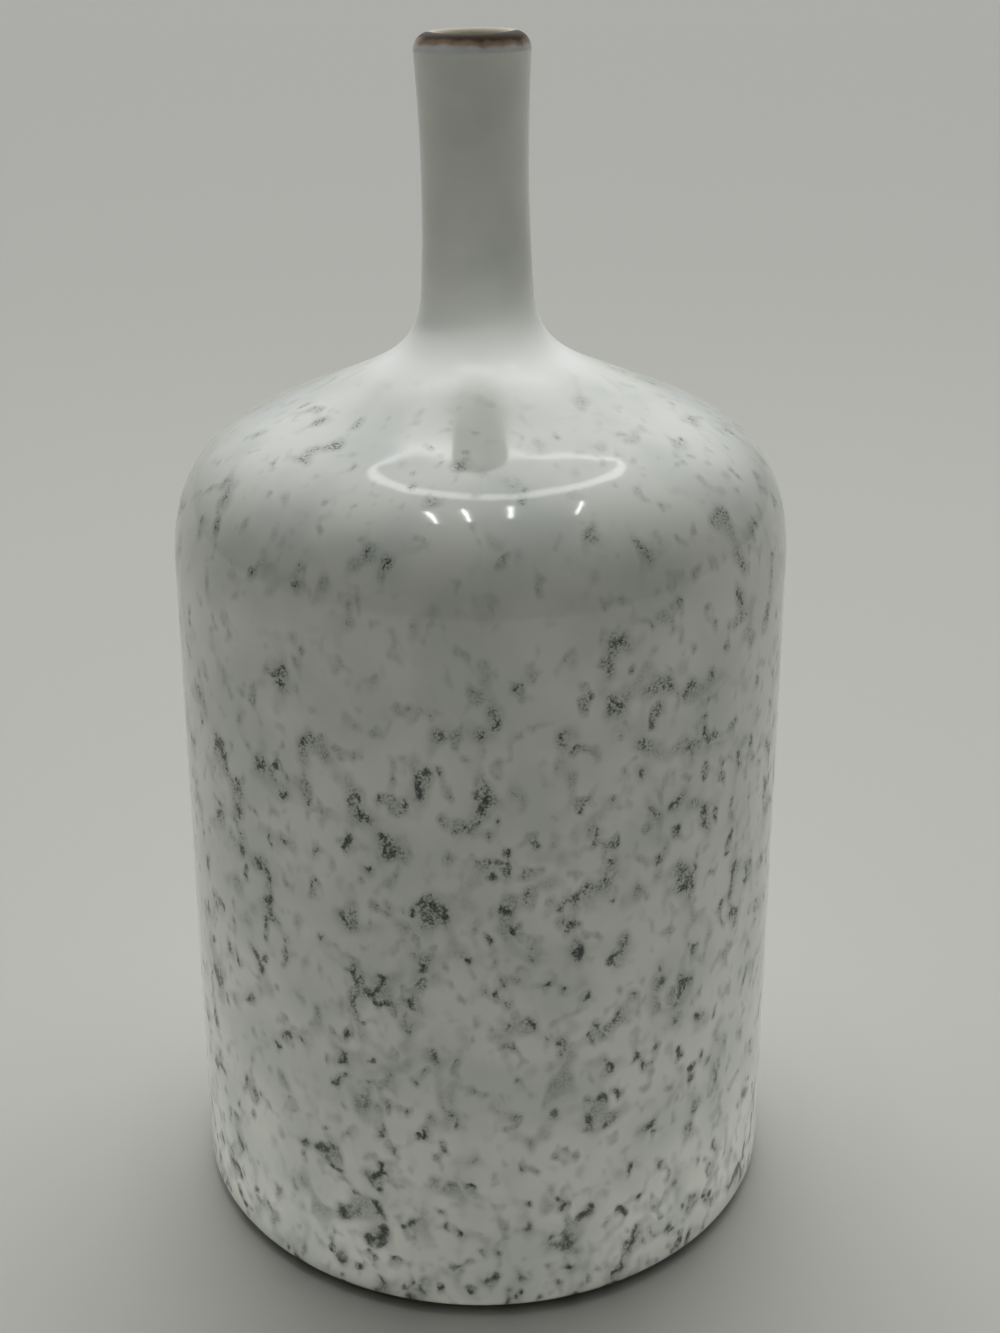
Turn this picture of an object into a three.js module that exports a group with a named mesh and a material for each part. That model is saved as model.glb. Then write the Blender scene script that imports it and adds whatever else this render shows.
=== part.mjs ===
// A tall stoneware bottle vase. Three thrown sections (body, shoulder and neck) are luted
// together with slip, a turned foot ring is luted underneath, and the fired coats lie over the
// clay: a speckled glaze outside, a liner glaze inside and an iron band on the lip.
// The z axis is the axis of the body, and z = 0 is the table that the foot ring stands on.

import * as THREE from "three";

// Driving dimensions, in millimetres, with angles in degrees.

// Heights, stacked from the table to the lip.
const footHeight = 2.5; // table to the bare underside of the body
const wallHeight = 186; // underside to the shoulder seam
const domeRise = 50; // shoulder seam to neck seam
const rootRise = 21.7; // flared root of the neck
const neckLength = 62.3; // top of the root to the top of the lip

// Outside radii, over the glaze.
const baseRadius = 84.5; // bottom of the body wall
const shoulderRadius = 81.8; // top of the body wall
const neckSeamRadius = 34; // where the dome of the shoulder meets the neck section
const rootRadius = 14.4; // top of the flared root
const waistRadius = 13.45; // slimmest part of the neck
const lipRadius = 14.4; // outside of the lip

// How the curves of the outside swing.
const shoulderSwell = 35.5; // how far the wall keeps rising before it bends inwards
const domeReach = 33; // how far the dome runs down from the neck seam before it bends
const domeSlope = 24; // fall of the dome at the neck seam
const rootReach = 12.4; // how far the dome runs on into the root
const rootStand = 12.3; // how far the root follows the line of the neck
const baseRound = 4; // rounding of the lower edge, over the glaze
const glazeStop = 75; // how far round the lower edge the glaze runs
const lean = 1.7; // how far the lip sits to the left of the body's axis
const leanPower = 1.5; // how the lean gathers above the shoulder seam, 1 being evenly

// Walls of fired clay.
const floorThickness = 7;
const bodyWall = 6; // at the floor
const shoulderWall = 5; // from the shoulder seam to the neck seam
const neckWall = 4.4; // at the lip
const cornerRound = 12; // inside, between the floor and the wall
const lipInnerRound = 1.5; // inside edge of the lip, over the glaze

// Coats and seams.
const outerGlaze = 0.8;
const innerGlaze = 0.6;
const slip = 0.6; // layer of slip in each seam
const keyDepth = 1.8; // depth of the scored V in a seam between two sections

// Foot ring.
const footRadius = 70; // outside
const footWidth = 8;
const footRound = 1; // both lower edges
const seatDepth = 1.2; // recess in the underside that takes the ring
const seatClearance = 0.3; // between the ring and each side of the recess

// Fineness of the turned surfaces.
const turns = 40; // facets around the axis
const steps = { edge: 3, wall: 2, seam: 1, dome: 8, root: 5, neck: 4, lip: 3, lipInside: 2, corner: 3 };

const point = (radius, height) => new THREE.Vector2(radius, height);
const radians = THREE.MathUtils.degToRad;
const last = (points) => points[points.length - 1];

// Heights above the table.
const underside = footHeight;
const shoulderSeam = underside + wallHeight;
const neckSeam = shoulderSeam + domeRise;
const rootTop = neckSeam + rootRise;
const overallHeight = rootTop + neckLength;
const floorTop = underside + floorThickness;

// The lip is as thick as the neck and both its glazes, and what the inner rounding leaves of that
// is the outer rounding.
const lipOuterRound = outerGlaze + neckWall + innerGlaze - lipInnerRound;
const lipCrestRadius = lipRadius - lipOuterRound;
const lipStart = overallHeight - lipOuterRound;

// Clay of the lower edge, under the glaze. The glaze goes round it about the same centre.
const clayEdgeRound = baseRound - outerGlaze;
const edgeCentre = point(baseRadius - baseRound, underside + clayEdgeRound);

// Points round a centre from one angle above the horizontal to another. The radius may change on
// the way.
function arc(centre, radius, from, to, count, radiusAtEnd = radius) {
  return Array.from({ length: count + 1 }, (_, i) => {
    const angle = radians(THREE.MathUtils.lerp(from, to, i / count));
    const reach = THREE.MathUtils.lerp(radius, radiusAtEnd, i / count);
    return point(centre.x + reach * Math.cos(angle), centre.y + reach * Math.sin(angle));
  });
}

// The outside over the glaze, as one curve for each stretch from the lower edge to the lip.
function outsideCurves() {
  const slope = radians(domeSlope);
  const downDome = point(Math.cos(slope), -Math.sin(slope));
  const wallBottom = point(baseRadius, edgeCentre.y);
  const wallTop = point(shoulderRadius, shoulderSeam);
  const domeStart = point(shoulderRadius, shoulderSeam + slip);
  const domeEnd = point(neckSeamRadius, neckSeam);
  const rootStart = domeEnd.clone().addScaledVector(downDome, -slip);
  const rootEnd = point(rootRadius, rootTop);
  const neckEnd = point(lipRadius, lipStart);
  // The pull of the neck's two handles that puts the middle of the curve at the waist.
  const waistPull = (8 * waistRadius - rootRadius - lipRadius) / 6;
  const third = (lipStart - rootTop) / 3;
  const neckHandle = point(waistPull, rootTop + third);
  const upNeck = neckHandle.clone().sub(rootEnd).normalize();
  return {
    wall: new THREE.LineCurve(wallBottom, wallTop),
    shoulderSeam: new THREE.LineCurve(wallTop, domeStart),
    dome: new THREE.CubicBezierCurve(
      domeStart,
      point(shoulderRadius, domeStart.y + shoulderSwell),
      domeEnd.clone().addScaledVector(downDome, domeReach),
      domeEnd,
    ),
    neckSeam: new THREE.LineCurve(domeEnd, rootStart),
    root: new THREE.CubicBezierCurve(
      rootStart,
      rootStart.clone().addScaledVector(downDome, -rootReach),
      rootEnd.clone().addScaledVector(upNeck, -rootStand),
      rootEnd,
    ),
    neck: new THREE.CubicBezierCurve(rootEnd, neckHandle, point(waistPull, lipStart - third), neckEnd),
  };
}

// Points along a stretch, set in from the outside by a depth that may change along it.
function setIn(curve, count, depth, depthAtEnd = depth) {
  return Array.from({ length: count + 1 }, (_, i) => {
    const share = i / count;
    const along = curve.getTangent(share);
    const inwards = point(-along.y, along.x);
    return curve.getPoint(share).addScaledVector(inwards, THREE.MathUtils.lerp(depth, depthAtEnd, share));
  });
}

// The lip, from the outside over the crest to the inside, under a coat that thins from the outer
// glaze to the inner one.
function lipSkin(outerDepth, innerDepth) {
  const outer = point(lipCrestRadius, lipStart);
  const inner = point(lipCrestRadius, overallHeight - lipInnerRound);
  const crestDepth = (outerDepth + innerDepth) / 2;
  return [
    ...arc(outer, lipOuterRound - outerDepth, 0, 90, steps.lip, lipOuterRound - crestDepth),
    ...arc(inner, lipInnerRound - crestDepth, 90, 180, steps.lipInside, lipInnerRound - innerDepth).slice(1),
  ];
}
const lipOverBand = lipSkin(0, 0);
const lipClay = lipSkin(outerGlaze, innerGlaze);

// Every stretch of one skin of the pot, set in from the outside. The depth is given at the floor,
// from seam to seam and at the lip. Stretches that meet share the point between them.
function skin(atFloor, atSeams, atLip, lipPoint) {
  const curves = outsideCurves();
  const side = {
    wall: setIn(curves.wall, steps.wall, atFloor, atSeams),
    shoulderSeam: setIn(curves.shoulderSeam, steps.seam, atSeams),
    dome: setIn(curves.dome, steps.dome, atSeams),
    neckSeam: setIn(curves.neckSeam, steps.seam, atSeams),
    root: setIn(curves.root, steps.root, atSeams, atLip),
    neck: setIn(curves.neck, steps.neck, atLip),
  };
  side.wall[steps.wall] = side.shoulderSeam[0];
  side.dome[0] = last(side.shoulderSeam);
  side.dome[steps.dome] = side.neckSeam[0];
  side.root[0] = last(side.neckSeam);
  side.neck[0] = last(side.root);
  side.neck[steps.neck] = lipPoint;
  return side;
}

// The four skins from the outside in. The two inside the clay lie a wall deeper, and the last of
// them a coat of liner deeper still.
const insideSkin = (coat, lipPoint) =>
  skin(
    outerGlaze + bodyWall + coat,
    outerGlaze + shoulderWall + coat,
    outerGlaze + neckWall + coat,
    lipPoint,
  );
const overGlaze = skin(0, 0, 0, lipOverBand[0]);
const clayOuter = skin(outerGlaze, outerGlaze, outerGlaze, lipClay[0]);
const clayInner = insideSkin(0, last(lipClay));
const overLiner = insideSkin(innerGlaze, last(lipOverBand));

// The inside of the lower corner: the floor, and the round that carries it up into the wall.
function corner(coat) {
  const round = cornerRound - coat;
  const centre = point(baseRadius - outerGlaze - bodyWall - cornerRound, floorTop + cornerRound);
  return [point(0, centre.y - round), ...arc(centre, round, -90, 0, steps.corner)];
}

// The scored V across a seam: the point halfway through the wall, sunk towards the foot.
function seamKey(outer, inner) {
  const across = inner.clone().sub(outer);
  const upwards = point(across.y, -across.x).normalize();
  return outer.clone().lerp(inner, 0.5).addScaledVector(upwards, -keyDepth);
}

// A closed outline turned round the axis. A facet of a stretch that runs downwards is cut along its
// other diagonal, so that two pieces that touch there have the same triangles, whichever way each
// of them runs.
function turned(outline) {
  const geometry = new THREE.LatheGeometry(outline, turns).rotateX(Math.PI / 2);
  const place = geometry.getAttribute("position");
  const corners = Array.from(geometry.getIndex().array);
  for (let k = 0; k < corners.length; k += 6) {
    const [a, b, d, c] = corners.slice(k, k + 4);
    if (place.getZ(d) < place.getZ(a)) corners.splice(k, 6, a, b, c, a, c, d);
  }
  geometry.setIndex(corners);
  return geometry;
}

// The pot sagged a little as it dried: above the shoulder seam its axis bends to the left, and each
// ring moves and tilts with the axis, so that its right side comes up.
function bend(geometry) {
  const place = geometry.getAttribute("position");
  const span = overallHeight - shoulderSeam;
  for (let i = 0; i < place.count; i++) {
    const [x, z] = [place.getX(i), place.getZ(i)];
    const share = Math.max(0, z - shoulderSeam) / span;
    const tilt = (lean * leanPower * Math.pow(share, leanPower - 1)) / span;
    place.setX(i, x - lean * Math.pow(share, leanPower));
    place.setZ(i, z + x * tilt);
  }
  return geometry;
}

const closed = (outline) => [...outline, outline[0].clone()];

// Finishes of the fired pot.
const finish = (color, roughness) => new THREE.MeshStandardMaterial({ color, roughness, metalness: 0 });
const stoneware = finish(0x9a8068, 0.85);
const seamSlip = finish(0xa88f76, 0.9);
const speckledGlaze = finish(0xd3d7d1, 0.18);
const linerGlaze = finish(0xc9c6b8, 0.25);
const ironBand = finish(0x5a4632, 0.35);

const vase = new THREE.Group();
vase.name = "stoneware_vase";

function addPiece(name, outline, material) {
  const mesh = new THREE.Mesh(bend(turned(outline)), material);
  mesh.name = name;
  vase.add(mesh);
}

// Foot ring: a turned ring with its two lower edges rounded, set up into the recess.
function footRing() {
  const inside = footRadius - footWidth;
  const top = underside + seatDepth - slip;
  return closed([
    ...arc(point(inside + footRound, footRound), footRound, 180, 270, 2),
    ...arc(point(footRadius - footRound, footRound), footRound, 270, 360, 2),
    point(footRadius, top),
    point(inside, top),
  ]);
}

// The recess in the underside of the body, with clearance on both sides of the ring.
const seatInner = footRadius - footWidth - seatClearance;
const seatOuter = footRadius + seatClearance;
const seatTop = underside + seatDepth;

function footSlip() {
  return closed([
    point(seatInner, seatTop - slip),
    point(seatOuter, seatTop - slip),
    point(seatOuter, seatTop),
    point(seatInner, seatTop),
  ]);
}

// Body: the floor with the recess under it, the rounded lower edge and the wall up to the seam.
function body() {
  return [
    point(0, underside),
    point(seatInner, underside),
    point(seatInner, seatTop),
    point(seatOuter, seatTop),
    point(seatOuter, underside),
    point(edgeCentre.x, underside),
    ...arc(edgeCentre, clayEdgeRound, -glazeStop, 0, steps.edge),
    ...clayOuter.wall.slice(1),
    seamKey(last(clayOuter.wall), last(clayInner.wall)),
    ...clayInner.wall.slice(1).reverse(),
    ...corner(0).reverse(),
  ];
}

// The slip between two sections fills the V and comes out flush with the clay on both sides.
function seamSlipRing(stretch) {
  const outer = clayOuter[stretch];
  const inner = clayInner[stretch];
  return closed([
    outer[0],
    last(outer),
    seamKey(last(outer), last(inner)),
    last(inner),
    inner[0],
    seamKey(outer[0], inner[0]),
  ]);
}

function shoulder() {
  return closed([
    ...clayOuter.dome,
    seamKey(last(clayOuter.dome), last(clayInner.dome)),
    ...clayInner.dome.toReversed(),
    seamKey(clayOuter.dome[0], clayInner.dome[0]),
  ]);
}

// Neck: the flared root, the neck itself and the rounded lip.
function neck() {
  return closed([
    ...clayOuter.root,
    ...clayOuter.neck.slice(1, -1),
    ...lipClay,
    ...clayInner.neck.slice(1, -1).toReversed(),
    ...clayInner.root.toReversed(),
    seamKey(clayOuter.root[0], clayInner.root[0]),
  ]);
}

// All the stretches of a skin in one run, from above the lower corner to the lip.
const run = (side) => Object.values(side).flatMap((stretch) => stretch.slice(1));

function outerGlazeCoat() {
  const outside = [...arc(edgeCentre, baseRound, -glazeStop, 0, steps.edge), ...run(overGlaze)];
  const onClay = [...arc(edgeCentre, clayEdgeRound, -glazeStop, 0, steps.edge), ...run(clayOuter)];
  return closed([...outside, ...onClay.reverse()]);
}

function lipBand() {
  return closed([...lipOverBand, ...lipClay.toReversed()]);
}

// Liner: from the middle of the floor, up the inside to the lip, and back along the clay.
function innerGlazeCoat() {
  const onClay = [...corner(0), ...run(clayInner)];
  const inside = [...corner(innerGlaze), ...run(overLiner)];
  return [...onClay, ...inside.reverse()];
}

addPiece("foot_ring", footRing(), stoneware);
addPiece("foot_slip", footSlip(), seamSlip);
addPiece("body", body(), stoneware);
addPiece("shoulder_slip", seamSlipRing("shoulderSeam"), seamSlip);
addPiece("shoulder", shoulder(), stoneware);
addPiece("neck_slip", seamSlipRing("neckSeam"), seamSlip);
addPiece("neck", neck(), stoneware);
addPiece("outer_glaze", outerGlazeCoat(), speckledGlaze);
addPiece("inner_glaze", innerGlazeCoat(), linerGlaze);
addPiece("lip_band", lipBand(), ironBand);

export default vase;
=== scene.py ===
# %% [markdown]
# A speckled stoneware bottle vase
#
# This lesson builds a wheel-thrown bottle vase in Blender. The real pot is three thrown sections
# and a foot ring, luted together with slip, under a pale glaze that iron has broken through in
# dark marks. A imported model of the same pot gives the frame: every piece made here stands for one
# of its pieces and stays exactly where that piece is.

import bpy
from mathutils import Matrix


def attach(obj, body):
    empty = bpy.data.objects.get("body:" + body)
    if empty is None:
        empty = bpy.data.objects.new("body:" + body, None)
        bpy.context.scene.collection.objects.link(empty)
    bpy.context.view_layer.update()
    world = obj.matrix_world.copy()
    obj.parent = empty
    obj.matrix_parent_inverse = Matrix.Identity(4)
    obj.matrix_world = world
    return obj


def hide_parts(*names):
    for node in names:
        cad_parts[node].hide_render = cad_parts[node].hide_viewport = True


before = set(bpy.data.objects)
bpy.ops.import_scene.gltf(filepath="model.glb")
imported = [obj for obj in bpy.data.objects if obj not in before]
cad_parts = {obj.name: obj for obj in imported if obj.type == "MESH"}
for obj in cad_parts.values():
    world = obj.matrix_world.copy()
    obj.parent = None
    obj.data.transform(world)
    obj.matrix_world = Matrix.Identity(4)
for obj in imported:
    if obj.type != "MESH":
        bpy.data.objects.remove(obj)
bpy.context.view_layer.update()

# %% Tools from Blender and Python
import math

import bmesh
import bpy
from mathutils import Matrix, Vector, noise
from mathutils.geometry import interpolate_bezier

# %% [markdown]
# Sizes of the pot
#
# A potter thinks of this shape as a stack: foot, wall, dome, root of the neck, neck. So the
# heights are stacked here too, and each radius is measured over the glaze, as calipers would find
# it on the finished pot. Everything is in millimetres until the mesh is made, because a potter's
# sizes are easier to judge that way than metres.

# %% Sizes in millimetres
FOOT_HEIGHT = 2.5
WALL_HEIGHT = 186.0
DOME_RISE = 50.0
ROOT_RISE = 21.7
NECK_LENGTH = 62.3

BASE_RADIUS = 84.5
SHOULDER_RADIUS = 81.8
NECK_SEAM_RADIUS = 34.0
ROOT_RADIUS = 14.4
WAIST_RADIUS = 13.45
LIP_RADIUS = 14.4

SHOULDER_SWELL = 35.5
DOME_REACH = 33.0
DOME_SLOPE = math.radians(24)
ROOT_REACH = 12.4
ROOT_STAND = 12.3
BASE_ROUND = 4.0
GLAZE_STOP = -75.0
LEAN = 1.7
LEAN_POWER = 1.5

FLOOR_THICKNESS = 7.0
BODY_WALL = 6.0
SHOULDER_WALL = 5.0
NECK_WALL = 4.4
CORNER_ROUND = 12.0
CORNER_CLEARANCE = 1.0
LIP_INNER_ROUND = 1.5

OUTER_GLAZE = 0.8
INNER_GLAZE = 0.6
SLIP = 0.6
KEY_DEPTH = 1.8

FOOT_RADIUS = 70.0
FOOT_WIDTH = 8.0
FOOT_ROUND = 1.0
SEAT_DEPTH = 1.2
SEAT_CLEARANCE = 0.3

# %% Heights worked out from the stack
UNDERSIDE = FOOT_HEIGHT
SHOULDER_SEAM = UNDERSIDE + WALL_HEIGHT
NECK_SEAM = SHOULDER_SEAM + DOME_RISE
ROOT_TOP = NECK_SEAM + ROOT_RISE
TOP = ROOT_TOP + NECK_LENGTH
FLOOR_TOP = UNDERSIDE + FLOOR_THICKNESS
LIP_OUTER_ROUND = OUTER_GLAZE + NECK_WALL + INNER_GLAZE - LIP_INNER_ROUND
LIP_CREST_RADIUS = LIP_RADIUS - LIP_OUTER_ROUND
LIP_START = TOP - LIP_OUTER_ROUND
print(f"the pot is {TOP:.1f} mm tall and {2 * BASE_RADIUS:.1f} mm across")

# %% [markdown]
# Drawing the outline
#
# Every piece of a thrown pot is a shape turned round the axis, so each one needs only half of a
# cross-section, as points of radius and height. Straight runs, arcs and Bezier curves draw the
# outside over the glaze. The clay under the glaze and the inside of the wall are the same curves
# set in by a depth, which is how a potter's ribs work too: one follows the other.

# %% Points on arcs, lines and curves
def arc(centre, radius, start, end, count, radius_at_end=None):
    """Points round a centre, from one angle above the horizontal to another, in degrees."""
    last_radius = radius if radius_at_end is None else radius_at_end
    points = []
    for i in range(count + 1):
        share = i / count
        angle = math.radians(start + (end - start) * share)
        cream_and_highlight_reach = radius + (last_radius - radius) * share
        points.append(centre + cream_and_highlight_reach * Vector((math.cos(angle), math.sin(angle))))
    return points


def straight(start, end, count):
    return [start.lerp(end, i / count) for i in range(count + 1)]


def swing(start, handle, other_handle, end, count):
    """Points on a Bezier curve."""
    points = interpolate_bezier(*(p.to_3d() for p in (start, handle, other_handle, end)), count + 1)
    return [p.to_2d() for p in points]


def set_in(points, depth, depth_at_end=None):
    """The same run of points, moved in from the outside of the pot."""
    last_depth = depth if depth_at_end is None else depth_at_end
    moved = []
    for i, p in enumerate(points):
        along = (points[min(i + 1, len(points) - 1)] - points[max(i - 1, 0)]).normalized()
        share = i / (len(points) - 1)
        moved.append(p + Vector((-along.y, along.x)) * (depth + (last_depth - depth) * share))
    return moved


# %% The outside of the pot, from the lower edge to the lip
WALL_STEPS = 40
DOME_STEPS = 44
ROOT_STEPS = 22
NECK_STEPS = 24
LIP_STEPS = 12
CORNER_STEPS = 16
EDGE_STEPS = 10
FOOT_STEPS = 6

down_dome = Vector((math.cos(DOME_SLOPE), -math.sin(DOME_SLOPE)))
edge_centre = Vector((BASE_RADIUS - BASE_ROUND, UNDERSIDE + BASE_ROUND - OUTER_GLAZE))
wall_bottom = Vector((BASE_RADIUS, edge_centre.y))
wall_top = Vector((SHOULDER_RADIUS, SHOULDER_SEAM))
dome_start = Vector((SHOULDER_RADIUS, SHOULDER_SEAM + SLIP))
dome_end = Vector((NECK_SEAM_RADIUS, NECK_SEAM))
root_start = dome_end - down_dome * SLIP
root_end = Vector((ROOT_RADIUS, ROOT_TOP))
neck_end = Vector((LIP_RADIUS, LIP_START))
waist_pull = (8 * WAIST_RADIUS - ROOT_RADIUS - LIP_RADIUS) / 6
third_of_neck = (LIP_START - ROOT_TOP) / 3
neck_handle = Vector((waist_pull, ROOT_TOP + third_of_neck))
up_neck = (neck_handle - root_end).normalized()

outside = {
    "wall": straight(wall_bottom, wall_top, WALL_STEPS),
    "shoulder_seam": straight(wall_top, dome_start, 1),
    "dome": swing(
        dome_start,
        dome_start + Vector((0, SHOULDER_SWELL)),
        dome_end + down_dome * DOME_REACH,
        dome_end,
        DOME_STEPS,
    ),
    "neck_seam": straight(dome_end, root_start, 1),
    "root": swing(
        root_start,
        root_start - down_dome * ROOT_REACH,
        root_end - up_neck * ROOT_STAND,
        root_end,
        ROOT_STEPS,
    ),
    "neck": swing(
        root_end,
        neck_handle,
        Vector((waist_pull, LIP_START - third_of_neck)),
        neck_end,
        NECK_STEPS,
    ),
}
print("the outside has", sum(len(run) for run in outside.values()), "points")


# %% The skins under it
def lip_skin(outer_depth, inner_depth):
    """The lip from the outside over the crest to the inside, under a coat that thins inwards."""
    outer = Vector((LIP_CREST_RADIUS, LIP_START))
    inner = Vector((LIP_CREST_RADIUS, TOP - LIP_INNER_ROUND))
    crest_depth = (outer_depth + inner_depth) / 2
    over = arc(outer, LIP_OUTER_ROUND - outer_depth, 0, 90, LIP_STEPS, LIP_OUTER_ROUND - crest_depth)
    into = arc(inner, LIP_INNER_ROUND - crest_depth, 90, 180, LIP_STEPS, LIP_INNER_ROUND - inner_depth)
    return over + into[1:]


def skin(at_floor, at_seams, at_lip, lip_point):
    """Every stretch of the outside, set in. Stretches that meet share the point between them."""
    side = {
        "wall": set_in(outside["wall"], at_floor, at_seams),
        "shoulder_seam": set_in(outside["shoulder_seam"], at_seams),
        "dome": set_in(outside["dome"], at_seams),
        "neck_seam": set_in(outside["neck_seam"], at_seams),
        "root": set_in(outside["root"], at_seams, at_lip),
        "neck": set_in(outside["neck"], at_lip),
    }
    side["wall"][-1] = side["shoulder_seam"][0]
    side["dome"][0] = side["shoulder_seam"][-1]
    side["dome"][-1] = side["neck_seam"][0]
    side["root"][0] = side["neck_seam"][-1]
    side["neck"][0] = side["root"][-1]
    side["neck"][-1] = lip_point
    return side


def inside_skin(coat, lip_point):
    return skin(
        OUTER_GLAZE + BODY_WALL + coat,
        OUTER_GLAZE + SHOULDER_WALL + coat,
        OUTER_GLAZE + NECK_WALL + coat,
        lip_point,
    )


def whole_run(side):
    """All the stretches of a skin in one run, from the foot of the wall to the lip."""
    return [point for run in side.values() for point in run[1:]]


def above_corner(points):
    """The points of an inside skin that lie clear above the rounded corner at the floor."""
    return [p for p in points if p.y > FLOOR_TOP + CORNER_ROUND + CORNER_CLEARANCE]


lip_over_band = lip_skin(0, 0)
lip_clay = lip_skin(OUTER_GLAZE, INNER_GLAZE)
over_glaze = skin(0, 0, 0, lip_over_band[0])
clay_outer = skin(OUTER_GLAZE, OUTER_GLAZE, OUTER_GLAZE, lip_clay[0])
clay_inner = inside_skin(0, lip_clay[-1])
over_liner = inside_skin(INNER_GLAZE, lip_over_band[-1])
print("each skin has the stretches", ", ".join(over_glaze))

# %% [markdown]
# From outline to pot
#
# Spinning an outline is exactly what the wheel does, so bmesh's spin makes every piece. It leaves
# a doubled seam where the last slice meets the first and doubled points on the axis, which are
# merged, and then the normals are made to face outwards. A pot off the wheel isn't quite true:
# its wall swells and dips by a tenth of a millimetre, and this one sagged a little to the left as
# it dried. Both are one formula of where a point is, so pieces that touch stay in touch.

# %% The hand of the potter
SLICES = 192
MM = 0.001

# The wobble is a share of the radius. Its waves are about a tenth of a turn long, and 42 mm high.
WOBBLE = 0.0016
WOBBLE_ROUND = 1.6
WOBBLE_HEIGHT = 42.0


def by_hand(point):
    """Swell and dip the wall, then lean the axis, for a point in millimetres."""
    around = Vector((point.x, point.y, 0)).normalized() * WOBBLE_ROUND
    wave = noise.noise(around + Vector((0, 0, point.z / WOBBLE_HEIGHT)))
    pull = 1 - WOBBLE * (0.5 + 0.5 * wave)
    x, y = point.x * pull, point.y * pull
    span = TOP - SHOULDER_SEAM
    share = max(0.0, point.z - SHOULDER_SEAM) / span
    tilt = LEAN * LEAN_POWER * share ** (LEAN_POWER - 1) / span
    return Vector((x - LEAN * share**LEAN_POWER, y, point.z + x * tilt))


print(f"the pieces are spun in {SLICES} slices, and the lip leans {LEAN} mm to the left")

# %% Spin an outline into a piece
SAME_POINT = 0.0005
CREASE = math.radians(40)


def turn(node, outline, material, closed=True):
    """Spin an outline round the axis into the piece that stands for one node of the frame."""
    mesh = bmesh.new()
    points = [mesh.verts.new((p.x, 0, p.y)) for p in outline]
    for start, end in zip(points, points[1:]):
        mesh.edges.new((start, end))
    if closed:
        mesh.edges.new((points[-1], points[0]))
    bmesh.ops.spin(
        mesh,
        geom=mesh.verts[:] + mesh.edges[:],
        cent=(0, 0, 0),
        axis=(0, 0, 1),
        angle=math.tau,
        steps=SLICES,
        use_merge=True,
    )
    bmesh.ops.remove_doubles(mesh, verts=mesh.verts, dist=SAME_POINT)
    bmesh.ops.recalc_face_normals(mesh, faces=mesh.faces)
    for vertex in mesh.verts:
        vertex.co = by_hand(vertex.co) * MM
    data = bpy.data.meshes.new(node)
    mesh.to_mesh(data)
    mesh.free()
    data.shade_smooth()
    data.set_sharp_from_angle(angle=CREASE)
    data.materials.append(material)
    piece = bpy.data.objects.new("fine_" + node, data)
    bpy.context.scene.collection.objects.link(piece)
    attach(piece, "root")
    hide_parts(node)
    print(f"{piece.name}: {len(data.polygons)} faces")
    return piece


# %% [markdown]
# Materials: one function adds a node
#
# All the finishes are procedural: patterns of noise read the piece's own coordinates, in
# millimetres, so a grain that is half a millimetre on the pot is half a millimetre here. Colours
# are picked as they look on a screen and turned to the linear values that the shader works in.
#
# Three kinds of node come up again and again. A Map Range node takes a value (0), the two levels
# between which it ramps (1, 2) and what it gives there (3, 4; from 0 to 1 if nothing is said). A
# Mix node takes a share (0) and two colours (6, 7), and its blend is output 2. A Noise node's size
# is one over its scale, and its values lie round 0.5, seldom below 0.3 or above 0.7. So a ramp
# from 0.45 to 0.75 picks out its peaks, and one from 0.35 to 0.65 uses nearly all of it.

# %% Colour and node helpers
SMOOTH = {"interpolation_type": "SMOOTHSTEP"}
COLOURS = {"data_type": "RGBA"}


def linear(code):
    """An sRGB hex colour as linear red, green, blue and alpha."""
    channels = [int(code[i : i + 2], 16) / 255 for i in (1, 3, 5)]
    return [c / 12.92 if c <= 0.04045 else ((c + 0.055) / 1.055) ** 2.4 for c in channels] + [1.0]


def add(tree, kind, inputs, output=0, **settings):
    """Add a node, set it up, fill its inputs with values or links, and give back one output."""
    node = tree.nodes.new("ShaderNode" + kind)
    for name, value in settings.items():
        setattr(node, name, value)
    for socket, value in inputs.items():
        if isinstance(value, bpy.types.NodeSocket):
            tree.links.new(value, node.inputs[socket])
        else:
            node.inputs[socket].default_value = value
    return node.outputs[output]


def new_material(name):
    """An empty material, with its tree, its shader and the coordinates in millimetres."""
    material = bpy.data.materials.new(name)
    material.use_nodes = True
    tree = material.node_tree
    tree.nodes.clear()
    shader = tree.nodes.new("ShaderNodeBsdfPrincipled")
    tree.links.new(shader.outputs[0], tree.nodes.new("ShaderNodeOutputMaterial").inputs["Surface"])
    place = add(tree, "TexCoord", {}, "Object")
    millimetres = add(tree, "VectorMath", {0: place, "Scale": 1000.0}, operation="SCALE")
    return material, tree, shader, millimetres


# %% [markdown]
# Bare stoneware
#
# Under the glaze and on the foot the pot is buff stoneware, fired hard and left as it came off the
# turning tool: matt, a little sandy to the touch, with grog and iron specks, and patches from the
# kiln. Three sizes of noise give the patches, the sand and the specks. Clay reflects weakly and
# is very rough, so only its colour and its grain are seen.

# %% Fired stoneware and slip
# The sizes of its patches, sand and specks in millimetres, and the depth of the sand in metres.
KILN_PATCH = 18.0
SAND = 0.6
IRON_SPECK = 2.2
SAND_RELIEF = 0.00012
ROUGH_LOW, ROUGH_HIGH = 0.78, 0.92


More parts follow.
